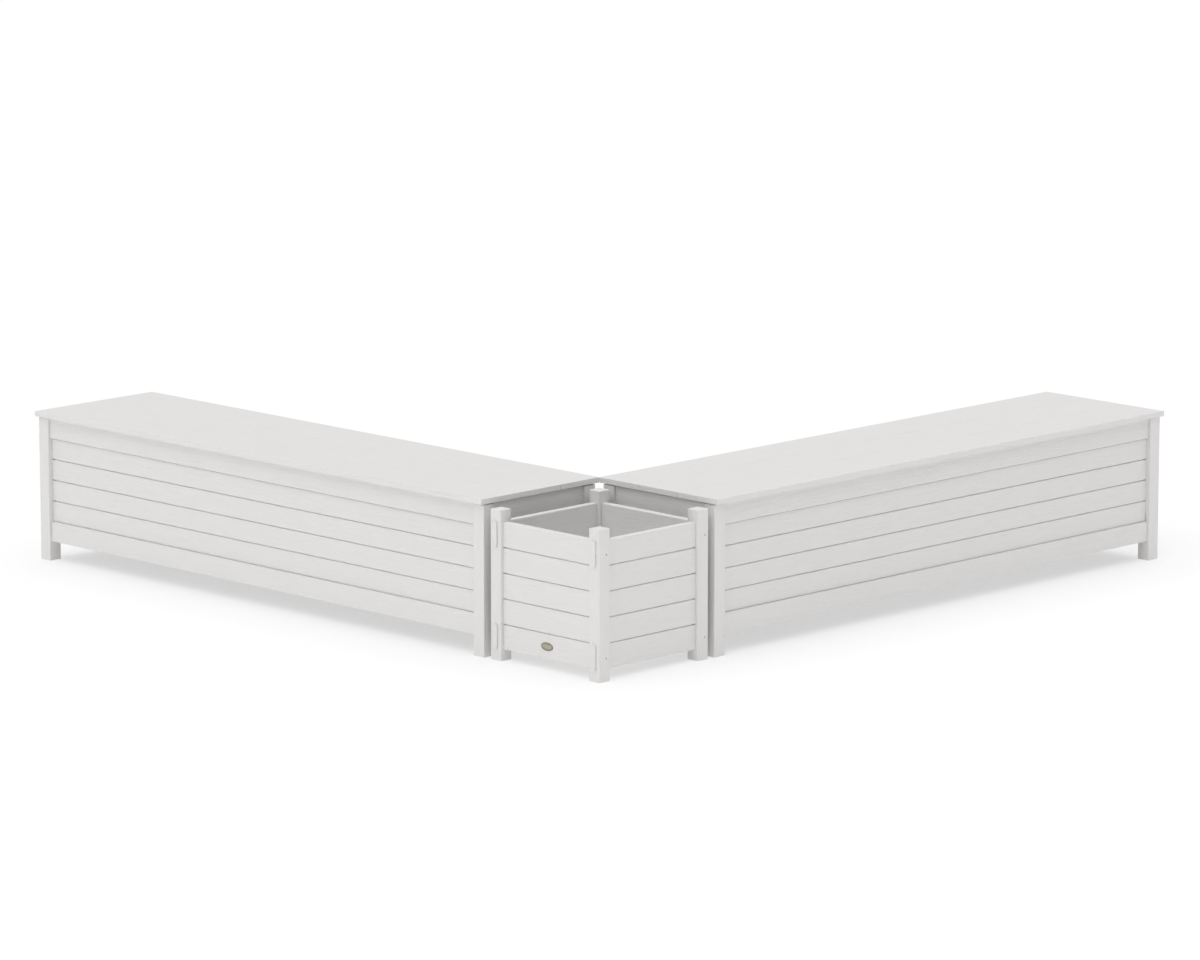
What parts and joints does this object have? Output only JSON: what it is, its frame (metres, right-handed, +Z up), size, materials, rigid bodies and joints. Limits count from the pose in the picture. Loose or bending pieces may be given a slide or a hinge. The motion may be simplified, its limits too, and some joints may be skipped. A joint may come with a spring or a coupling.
{
  "type": "corner bench set with planter",
  "caption": "Corner seating set: long closed-sided box benches laid out as an L, with a square open board planter that stands in the outer corner between them.",
  "frame": {"origin": "on the floor, at the middle of the set's square outline", "axes": "+Z up; the right bench runs along +X and the left bench along +Y from the inner corner of the L, and the planter stands at the -X, -Y corner"},
  "size_m": [2.483, 2.4842, 0.47],
  "materials": {
    "white_lumber": "white plastic lumber with a fine embossed wood grain, satin",
    "bronze_plate": "small bare oval plate, aged bronze",
    "white_screw": "small screw heads painted to match the lumber"
  },
  "bodies": {
    "root": {"right_bench_seat_board_outer": "white_lumber", "right_bench_seat_board_middle": "white_lumber", "right_bench_seat_board_inner": "white_lumber", "right_bench_seat_bearer_1": "white_lumber", "right_bench_seat_bearer_2": "white_lumber", "right_bench_post_far_inner": "white_lumber", "right_bench_post_near_inner": "white_lumber", "right_bench_post_near_outer": "white_lumber", "right_bench_post_far_outer": "white_lumber", "right_bench_top_rail_inner": "white_lumber", "right_bench_top_rail_outer": "white_lumber", "right_bench_bottom_rail_inner": "white_lumber", "right_bench_bottom_rail_outer": "white_lumber", "right_bench_infill_inner": "white_lumber", "right_bench_infill_outer": "white_lumber", "right_bench_end_top_rail_far": "white_lumber", "right_bench_end_top_rail_near": "white_lumber", "right_bench_end_bottom_rail_far": "white_lumber", "right_bench_end_bottom_rail_near": "white_lumber", "right_bench_end_infill_far": "white_lumber", "right_bench_end_infill_near": "white_lumber", "left_bench_seat_board_outer": "white_lumber", "left_bench_seat_board_middle": "white_lumber", "left_bench_seat_board_inner": "white_lumber", "left_bench_seat_bearer_1": "white_lumber", "left_bench_seat_bearer_2": "white_lumber", "left_bench_post_far_inner": "white_lumber", "left_bench_post_near_inner": "white_lumber", "left_bench_post_near_outer": "white_lumber", "left_bench_post_far_outer": "white_lumber", "left_bench_top_rail_inner": "white_lumber", "left_bench_top_rail_outer": "white_lumber", "left_bench_bottom_rail_inner": "white_lumber", "left_bench_bottom_rail_outer": "white_lumber", "left_bench_infill_inner": "white_lumber", "left_bench_infill_outer": "white_lumber", "left_bench_end_top_rail_far": "white_lumber", "left_bench_end_top_rail_near": "white_lumber", "left_bench_end_bottom_rail_far": "white_lumber", "left_bench_end_bottom_rail_near": "white_lumber", "left_bench_end_infill_far": "white_lumber", "left_bench_end_infill_near": "white_lumber", "planter_post_front": "white_lumber", "planter_post_left": "white_lumber", "planter_post_right": "white_lumber", "planter_post_back": "white_lumber", "planter_top_rail_front_left": "white_lumber", "planter_top_rail_front_right": "white_lumber", "planter_top_rail_back_left": "white_lumber", "planter_top_rail_back_right": "white_lumber", "planter_bottom_rail_front_left": "white_lumber", "planter_bottom_rail_front_right": "white_lumber", "planter_bottom_rail_back_left": "white_lumber", "planter_bottom_rail_back_right": "white_lumber", "planter_infill_front_left": "white_lumber", "planter_infill_front_right": "white_lumber", "planter_infill_back_left": "white_lumber", "planter_infill_back_right": "white_lumber", "planter_floor": "white_lumber"}
  },
  "joints": []
}
